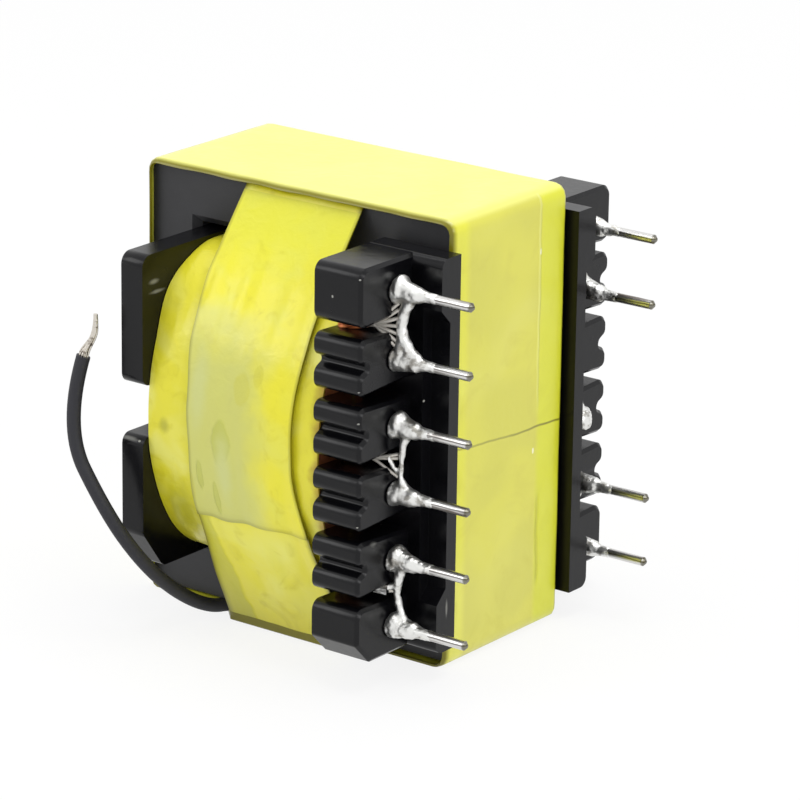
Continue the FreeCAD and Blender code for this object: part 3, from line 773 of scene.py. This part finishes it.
def coil_place(share, across):
    """A crowned band with creases and dents, and a raised shoulder at the front's far upper edge."""
    depth, height = coil_walk(share)
    x = coil_low_x + (coil_high_x - coil_low_x) * across
    outward = crown_rise - crown_fall * abs(2 * across - 1) ** 4
    outward += crease_depth * bumps((x * 2.2, depth * 0.35, height * 0.35), 2.0, 3.1)
    outward += dent_depth * bumps((x, depth, height), 2.6, 8.4)
    if depth < 0:
        up_and_down = math.exp(-((height - shoulder_height) / shoulder_length) ** 2)
        outward += shoulder_rise * up_and_down * math.exp(-(across / shoulder_share) ** 2)
    return pushed_out(x, depth, height, max(outward, 0.0))


coil_tape = open_tube("X", 220, 44)
lay_tape(coil_tape, "X", coil_place, 0.15)
hand_over(coil_tape, "coil_tape_film", coil_finish, ("winding_tape",))

# %% [markdown]
# ## Strap tape
#
# The strap ties the coil to the outer legs of the core. In front its edges wander: it is narrower
# on the bulge of the coil and wider at the foot. A short list gives both edges at a few heights,
# and the places between them are blended. The strap is pulled tight over the legs, the crossing
# of the lead and the coil.

# %% Strap tape
strap_edges = [
    (-16.6, -4.45, 7.3), (-13.7, -4.3, 7.2), (-6.8, -3.65, 6.75), (-1.0, -3.35, 6.1),
    (2.0, -3.55, 6.0), (6.9, -4.15, 6.2), (11.0, -4.75, 5.95), (16.6, -4.9, 5.75),
]
back_left, back_right = -4.9, 5.5
front_line, front_fade = 4.0, 8.0
bulge_line, bulge_fade = 6.8, 4.0
strap_lift, ripple_depth, ripple_seed = 0.07, 0.12, 5.5
legs = [(a * half_thickness, b * half_width) for a in (-1, 1) for b in (-1, 1)]
lead_crossing = (-8.63, -half_width)
strap_walk = walker(stretched_over(legs + [lead_crossing] + oval(0.04)))


def strap_edges_at(height):
    """Left and right edge of the strap's front at a height above the core's middle."""
    for low, high in zip(strap_edges, strap_edges[1:]):
        if height <= high[0] or high is strap_edges[-1]:
            part = clamp((height - low[0]) / (high[0] - low[0]))
            part = part * part * (3 - 2 * part)
            return [low[side] + (high[side] - low[side]) * part for side in (1, 2)]


def strap_place(grow, seed):
    """A function that lays the strap, this far out where it bulges."""
    def place(share, across):
        depth, height = strap_walk(share)
        front = clamp((front_line - depth) / front_fade)
        left, right = strap_edges_at(height)
        left = back_left + (left - back_left) * front
        right = back_right + (right - back_right) * front
        x = left + (right - left) * across
        on_bulge = clamp((abs(depth) - bulge_line) / bulge_fade)
        ripple = ripple_depth * on_bulge * bumps((x * 1.6, depth * 0.3, height * 0.4), 2.1, seed)
        return pushed_out(x, depth, height, strap_lift + (grow + ripple) * on_bulge)
    return place


strap = open_tube("X", 240, 40)
mark_edge_glue_and_shade(strap, "X", 0.07, 1.0)
lay_tape(strap, "X", strap_place(0.3, ripple_seed), 0.09)
hand_over(strap, "strap_film", strap_finish, ("strap_tape",))

# %% [markdown]
# ## The strap's second layer
#
# The strap goes round more than once, and its last layer stops on the front of the coil with a
# slanting cut end. Two layers look greyer than one, and bubbles stay between them. This layer is a
# grid: one direction of it runs down the strap from under the core's tape to the cut end.

# %% Second layer
def end_height(x):
    """Height of the tape's slanting end above the core's middle."""
    return -6.6 + 0.035 * (x - 1.0) + 0.06 * math.sin(x * 1.9)


def share_at_height(height):
    """Share of the way round at which the strap's front has the given height."""
    low, high = 0.25, 0.75
    for _ in range(40):
        middle = (low + high) / 2
        if strap_walk(middle)[1] > height:
            low = middle
        else:
            high = middle
    return low


clear_selection()
bpy.ops.mesh.primitive_grid_add(x_subdivisions=60, y_subdivisions=36, size=1, location=(0.5, 0.5, 0))
second = bpy.context.object
apply_place(second)
lay_flat, lay_second = strap_place(0.0, 0.0), strap_place(0.38, ripple_seed)
near_end_share = 0.56    # share of the way round the strap at about the height of the cut end
start_share, end_shares = share_at_height(15.9), {}
layer = second.data.attributes.new("edge", "FLOAT", "POINT")
for index, vertex in enumerate(second.data.vertices):
    down, across = vertex.co.x, vertex.co.y
    # The cut end and the two sides get the darker edge line: partly the film's edge, partly painted shade of the
    # step.
    at_end, at_side = max((down - 0.98) / 0.02, 0), max(abs(2 * across - 1) - 0.95, 0) / 0.05
    layer.data[index].value = 0.5 * at_end + 0.6 * at_side
    column = round(across, 4)
    if column not in end_shares:
        end_shares[column] = share_at_height(end_height(lay_flat(near_end_share, across)[0]))
    share = start_share + (end_shares[column] - start_share) * down
    vertex.co = Vector(lay_second(share, across)) * mm
if sum(face.normal.y for face in second.data.polygons) > 0:
    pick(second, "FACE", lambda face: True)
    bpy.ops.mesh.flip_normals()
    done_editing()
add_and_apply(second, "SOLIDIFY", thickness=0.06 * mm, offset=-1)
smooth(second, 40)
hand_over(second, "strap_second_layer", double_finish)

# %% [markdown]
# ## Core tape
#
# The tape round the core is wider than the ferrite is thick. Its free lips stand past the two
# faces and curl in over the edge, and a darker line runs along every edge: partly the film's glue
# edge, partly painted shade under the curled lip. On the floor a lip lies
# flat instead, and under the strap it is pressed further out and turns up. The rounded box below
# is the core's outline. More than a third of the rows lie in the two lips, where the curl is.

# %% Core tape
core_walk = walker(rounded_box(14.14, 16.82, 0.95))
flat_share = 0.64
lip_reach, lip_drop, lip_angle = 0.68, 0.5, 1.25
pressed_reach, pressed_curl, curl_start = 2.0, 0.75, 0.6
floor_line, floor_fade = -15.9, 0.5
strap_from, strap_from_fade, strap_to, strap_to_fade = -6.6, 2.2, 7.9, 0.8
face_x, face_z, face_fade = 13.0, 15.7, 1.1


def core_place(share, across):
    """Flat over the ferrite, then a lip that curls in, or lies flat where the part rests on the floor."""
    x, height = core_walk(share)
    side = 2 * across - 1
    lip = max(abs(side) - flat_share, 0) / (1 - flat_share)
    bend = lip * lip_angle + 0.2 * lip * bumps((x, 0, height), 3.0, 6.2)
    on_floor = clamp((floor_line - height) / floor_fade)
    under_strap = clamp((x - strap_from) / strap_from_fade) * clamp((strap_to - x) / strap_to_fade)
    if side > 0:
        under_strap = 0.0
    laid_out = (1 - under_strap) * lip ** 0.7 + under_strap * min(lip / curl_start, 1)
    flat_lip = (lip_reach + pressed_reach * under_strap) * laid_out
    depth = half_thickness * min(abs(side) / flat_share, 1)
    depth += lip_reach * math.sin(bend) * (1 - on_floor) + flat_lip * on_floor
    ripple = 0.025 * bumps((x, depth * 0.7, height), 4.5, 1.7)
    drop = lip_drop * (1 - math.cos(bend)) + max(ripple, -0.02) * (1 - on_floor)
    curl = under_strap * pressed_curl * max(lip - curl_start, 0) / (1 - curl_start)
    near_x = clamp((abs(x) - face_x) / face_fade)
    near_z = clamp((abs(height) - face_z) / face_fade)
    x -= math.copysign(drop * near_x, x)
    height += curl * on_floor - math.copysign(drop * near_z, height) * (1 - on_floor)
    return (x, math.copysign(depth, side), height + resting_height)


core_tape = open_tube("Y", 260, 50)
mark_edge_glue_and_shade(core_tape, "Y", 0.3, 1.7)
lay_tape(core_tape, "Y", core_place, 0.16)
hand_over(core_tape, "core_tape_film", core_finish, ("core_tape",))

# %% [markdown]
# ## Bobbin with softened edges
#
# Moulded parts have no sharp edges, and the thin bright line that each rounded edge catches is
# what makes black plastic readable. The solid's mesh is loose triangles, so a copy is merged and
# its flat areas are made whole before the bevel.

# %% Bobbin
def merged_copy(node_name):
    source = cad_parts[node_name]
    copy = source.copy()
    copy.data = source.data.copy()
    copy.parent = None
    for key in list(copy.keys()):
        if key.startswith("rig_"):
            del copy[key]
    bpy.context.scene.collection.objects.link(copy)
    pick(copy, "VERT", lambda vertex: True)
    bpy.ops.mesh.remove_doubles(threshold=0.002 * mm)
    bpy.ops.mesh.dissolve_limited(angle_limit=math.radians(1))
    done_editing()
    return copy


bobbin = merged_copy("bobbin")
ear_reach, notch_heights = 15.2, (15.17, 19.07)


def on_notch_corner(edge):
    """Whether the edge is an outer corner of the notch in an ear."""
    ends = [bobbin.data.vertices[index].co / mm for index in edge.vertices]
    on_face = all(abs(abs(end.y) - ear_reach) < 0.02 for end in ends)
    at_notch = all(min(abs(end.z - height) for height in notch_heights) < 0.02 for end in ends)
    return on_face and at_notch and abs(ends[0].x - ends[1].x) > 1.0


pick(bobbin, "EDGE", on_notch_corner)
bpy.ops.mesh.bevel(offset=0.75 * mm, segments=5)
done_editing()
add_and_apply(bobbin, "BEVEL", width=0.13 * mm, segments=3, limit_method="ANGLE", angle_limit=math.radians(40))
smooth(bobbin, 35)
add_and_apply(bobbin, "WEIGHTED_NORMAL", keep_sharp=True, weight=80)
hand_over(bobbin, "bobbin_moulding", moulding_finish, ("bobbin",))

# %% [markdown]
# ## Solder joints
#
# Molten solder wets the pin and the strands, pulls itself into hollow curves between them and
# freezes. It is easiest to shape like clay: drops and tapers are set where the solder sits, then a
# voxel remesh melts them into one skin, a few rounds of smoothing make the hollow curves, and a
# little noise gives the frozen surface. This is done at a scale of 1 unit to the millimetre.

# %% Clay for the solder
pin_row_y, block_end, pin_pitch = 11.25, 12.3, 5.0
front_y, back_y = -pin_row_y, pin_row_y
clay_grain = 0.1


def pin_height(number):
    return resting_height + (3.5 - number) * pin_pitch


def solder_drop(place, half_sizes):
    bpy.ops.mesh.primitive_ico_sphere_add(subdivisions=3, radius=1, location=place)
    bpy.context.object.scale = half_sizes
    return bpy.context.object


def solder_taper(start, end, start_radius, end_radius):
    start, end = Vector(start), Vector(end)
    turn_to = (end - start).to_track_quat("Z", "Y").to_euler()
    bpy.ops.mesh.primitive_cone_add(vertices=24, radius1=start_radius, radius2=end_radius,
                                    depth=(end - start).length, location=(start + end) / 2, rotation=turn_to)
    return bpy.context.object


def solder_run(*points):
    """Tapers through (x, y, z, radius) points with a drop on each bend."""
    made = []
    for (*start, start_radius), (*end, end_radius) in zip(points, points[1:]):
        made.append(solder_taper(start, end, start_radius, end_radius))
        made.append(solder_drop(end, (end_radius,) * 3))
    return made


def row_run(y, *points):
    """A run that stays in the plane of a pin row, through (x, z, radius) points."""
    return solder_run(*[(x, y, z, radius) for x, z, radius in points])


def pin_fillet(y, z, dome_lift, dome_sizes):
    """Solder round one pin: a foot on the block, a dome and a coat that thins out along the pin."""
    foot = solder_taper((block_end + 0.03, y, z), (12.8, y, z), 0.95, 0.8)
    dome = solder_drop((12.86, y, z + dome_lift), dome_sizes)
    return [foot, dome] + row_run(
        y, (12.5, z, 0.8), (13.1, z + dome_lift * 0.5, 0.76), (13.7, z + dome_lift * 0.15, 0.7),
        (14.2, z, 0.64), (14.6, z, 0.5), (15.1, z, 0.42), (15.9, z, 0.37))


def melted(parts, where, rough):
    """Join the clay, melt it into one skin, smooth it, roughen it and bring it to true size."""
    for part in parts:
        apply_place(part)
    joint = joined(parts)
    add_and_apply(joint, "REMESH", mode="VOXEL", voxel_size=clay_grain, adaptivity=0.0)
    add_and_apply(joint, "SMOOTH", factor=0.5, iterations=6)
    for vertex in joint.data.vertices:
        frozen = noise.noise(vertex.co * 1.7) * 0.06 + noise.noise(vertex.co * 4.5) * rough
        vertex.co = vertex.co + vertex.normal * frozen
        if abs(vertex.co.y) < 11.9:
            vertex.co.x = max(vertex.co.x, block_end + 0.02)
    joint.scale = (mm, mm, mm)
    apply_place(joint)
    smooth(joint, 80)
    hand_over(joint, "solder_joint_" + where, solder_finish, ("solder_" + where,))


# %% Front joints
clear_selection()
z1, z2, z3, z4, z5, z6 = (pin_height(number) for number in range(1, 7))
slot_12, slot_34, slot_56 = (z - pin_pitch / 2 for z in (z1, z3, z5))

clay = pin_fillet(front_y, z1, 0.32, (0.58, 0.9, 0.95)) + pin_fillet(front_y, z2, -0.02, (0.7, 0.85, 0.8))
clay += row_run(front_y, (13.75, z1 - 0.35, 0.45), (13.15, z1 - 1.3, 0.42), (12.85, slot_12, 0.4),
                (13.05, z2 + 1.5, 0.46), (13.7, z2 + 0.7, 0.42), (14.5, z2 + 0.25, 0.36))
clay += row_run(front_y, (12.9, z2 + 1.5, 0.45), (12.9, z2 + 0.5, 0.6))
melted(clay, "front_12", 0.02)

clay = pin_fillet(front_y, z3, 0.3, (0.6, 0.9, 0.95)) + pin_fillet(front_y, z4, 0.06, (0.75, 0.85, 0.78))
clay += row_run(front_y, (13.5, z3 - 0.35, 0.48), (13.2, z3 - 1.1, 0.3), (13.05, slot_34, 0.2),
                (12.98, z4 + 1.35, 0.19), (13.15, z4 + 0.85, 0.34), (13.4, z4 + 0.4, 0.5))
clay += solder_run((12.15, -11.7, slot_34 + 0.35, 0.24), (12.8, front_y, slot_34 - 1.1, 0.12))
melted(clay, "front_34", 0.02)

clay = pin_fillet(front_y, z5, 0.3, (0.6, 0.88, 0.93)) + pin_fillet(front_y, z6, 0.12, (0.8, 0.95, 1.0))
clay += row_run(front_y, (13.2, z5 - 0.4, 0.42), (12.85, slot_56 + 0.7, 0.36), (12.8, slot_56, 0.27),
                (13.1, z6 + 1.4, 0.28), (13.3, z6 + 0.6, 0.42))
clay += solder_run((10.7, -12.0, slot_56 + 0.05, 0.13), (11.7, -11.75, slot_56 + 0.25, 0.22),
                   (12.75, front_y, slot_56 + 0.65, 0.3))
melted(clay, "front_56", 0.045)

# %% Back joints
for number, slot, lift in ((1, slot_12, 0.35), (2, slot_12, 0.4), (5, slot_56, -0.1), (6, slot_56, 0.1)):
    z = pin_height(number)
    towards = math.copysign(1, slot - z)
    clay = pin_fillet(back_y, z, lift, (0.55, 0.8, 0.7))
    clay += row_run(back_y, (12.8, z + 0.4 * towards, 0.45), (12.6, z + 1.4 * towards, 0.28),
                    (12.5, slot - 0.35 * towards, 0.14))
    melted(clay, "back_%d" % number, 0.03)

clay = [solder_taper((block_end + 0.03, back_y, z4), (13.4, back_y, z4), 0.95, 0.7),
        solder_drop((13.25, back_y, z4 - 0.1), (0.42, 0.7, 0.72)),
        solder_drop((12.9, back_y + 0.3, z4 + 0.3), (0.5, 0.6, 0.55))]
clay += row_run(back_y, (12.8, z4 + 0.5, 0.4), (12.5, slot_34 - 0.3, 0.16))
melted(clay, "back_4", 0.05)

# %% [markdown]
# ## Copper strands in the slots
#
# Each slot between two joined blocks carries a bundle of thin enamelled strands. Deep in the slot
# they are copper brown, and near the joint they have taken solder and spread like a small fan. One
# short curve a strand, with seeded offsets, gives both.

# %% Copper strands
def bundle(where, side, slot, fan, count, seed, thickness=0.24, sag=0.0):
    """Strands from under the coil's tape, gathered at the block's edge and spread over the fan."""
    random.seed(seed)
    gathered = Vector((10.95, side * 11.85, slot + 0.02 - 0.2 * sag))
    made = []
    for index in range(count):
        share = index / (count - 1)
        across_slot = side * (11.3 + 1.9 * share)
        start = Vector((8.5, across_slot, slot - sag + random.uniform(-0.22, 0.22)))
        under_tape = Vector((7.2, side * (9.9 + 0.7 * share), start.z))
        middle = Vector((9.7, (across_slot + gathered.y) / 2, slot - 0.8 * sag + random.uniform(-0.16, 0.16)))
        target = Vector(fan[index % len(fan)])
        bend = gathered.lerp(target, 0.45) + Vector((0, side * 0.08, random.uniform(-0.06, 0.06)))
        made.append(smooth_wire("strand", [under_tape, start, middle, gathered, bend, target],
                                thickness * mm, steps=6, round_steps=2))
    hand_over(strands_to_mesh(made), "copper_strands_" + where, copper_finish, ("copper_end_" + where,))


def fan_points(slot, side, heights, x=12.75, lift=0.0):
    return [(x, side * (pin_row_y + lift), slot + height) for height in heights]


wide_fan = fan_points(slot_12, -1, (1.7, 1.2, 0.6, 0.0, -0.6, -1.2, -1.7), lift=0.15)
wide_fan += fan_points(slot_12, -1, (1.35, -1.0, 0.8, -0.4), x=12.2, lift=0.45)
bundle("front_12", -1, slot_12, wide_fan, 14, 3, thickness=0.27, sag=0.45)
for where, side, slot, heights, seed in (
        ("front_34", -1, slot_34, (0.5, 0.2, -1.2), 4), ("front_56", -1, slot_56, (0.7, 0.5, 0.2), 5),
        ("back_12", 1, slot_12, (0.4, 0.0, -0.4), 6), ("back_34", 1, slot_34, (-0.2, -0.6, -1.0), 7),
        ("back_56", 1, slot_56, (0.4, 0.0, -0.4), 8)):
    bundle(where, side, slot, fan_points(slot, side, heights), 6, seed)

# %% Finishes on the solids that stay
solid_finishes = {"core_half": ferrite_finish, "pin_": pin_finish, "primary_winding": copper_finish,
                  "secondary_winding": copper_finish, "interlayer_tape": coil_finish}
for start, finish in solid_finishes.items():
    staying = [node for name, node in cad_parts.items() if name.startswith(start)]
    for node in staying:
        cover(node, finish)
    print(finish.name, "on", len(staying), "solids")

# %% [markdown]
# ## Table, light and backdrop
#
# The photo is cut out on white with hardly any shadow. To the camera the floor mostly glows, so it
# stays white, and it is lit a little, so it keeps a soft shadow under the core. Three large soft
# lamps, above and on both sides, give the broad highlights on the tape and the moulding.

# %% Floor
def seen_rays(tree):
    """1 for rays that the camera sees, straight, in a reflection or through a clear surface."""
    rays = add_node(tree, "ShaderNodeLightPath").outputs
    seen = math_node(tree, "MAXIMUM", rays["Is Camera Ray"], rays["Is Glossy Ray"])
    return math_node(tree, "MAXIMUM", seen, rays["Is Transmission Ray"])


clear_selection()
bpy.ops.mesh.primitive_plane_add(size=3.0, location=(0, 0, -0.00002))
floor = bpy.context.object
floor.name = "floor"
floor_finish = bpy.data.materials.new("floor_white")
floor_finish.use_nodes = True
tree = floor_finish.node_tree
tree.nodes.remove(tree.nodes["Principled BSDF"])
dull = add_node(tree, "ShaderNodeBsdfDiffuse", {"Color": (0.9, 0.9, 0.9, 1)})
glow = add_node(tree, "ShaderNodeEmission", {"Color": (1, 1, 1, 1), "Strength": 1.0})
glow_share = times(tree, seen_rays(tree), 0.86)
mixed = add_node(tree, "ShaderNodeMixShader", {0: glow_share, 1: dull.outputs[0], 2: glow.outputs[0]})
tree.links.new(mixed.outputs[0], tree.nodes["Material Output"].inputs["Surface"])
floor.data.materials.append(floor_finish)

# %% World and lamps
world = bpy.data.worlds.new("studio")
bpy.context.scene.world = world
world.use_nodes = True
tree = world.node_tree
backdrop = tree.nodes["Background"].inputs
tree.links.new(plus(tree, 0.55, seen_rays(tree), 0.45), backdrop["Strength"])
backdrop["Color"].default_value = (1, 1, 1, 1)
lamp_target = Vector((0, 0, 0.02))


def soft_lamp(name, place, size, watts):
    lamp_data = bpy.data.lights.new(name, "AREA")
    lamp_data.shape = "SQUARE"
    lamp_data.size = size
    lamp_data.energy = watts
    lamp = bpy.data.objects.new(name, lamp_data)
    bpy.context.scene.collection.objects.link(lamp)
    lamp.location = place
    lamp.rotation_euler = (lamp_target - Vector(place)).to_track_quat("-Z", "Y").to_euler()


soft_lamp("top_lamp", (0.02, 0.05, 0.45), 0.3, 1.22)
soft_lamp("left_lamp", (-0.35, -0.35, 0.3), 0.25, 0.54)
soft_lamp("right_lamp", (0.45, -0.1, 0.25), 0.2, 0.5)
bpy.context.scene.view_settings.view_transform = "Standard"
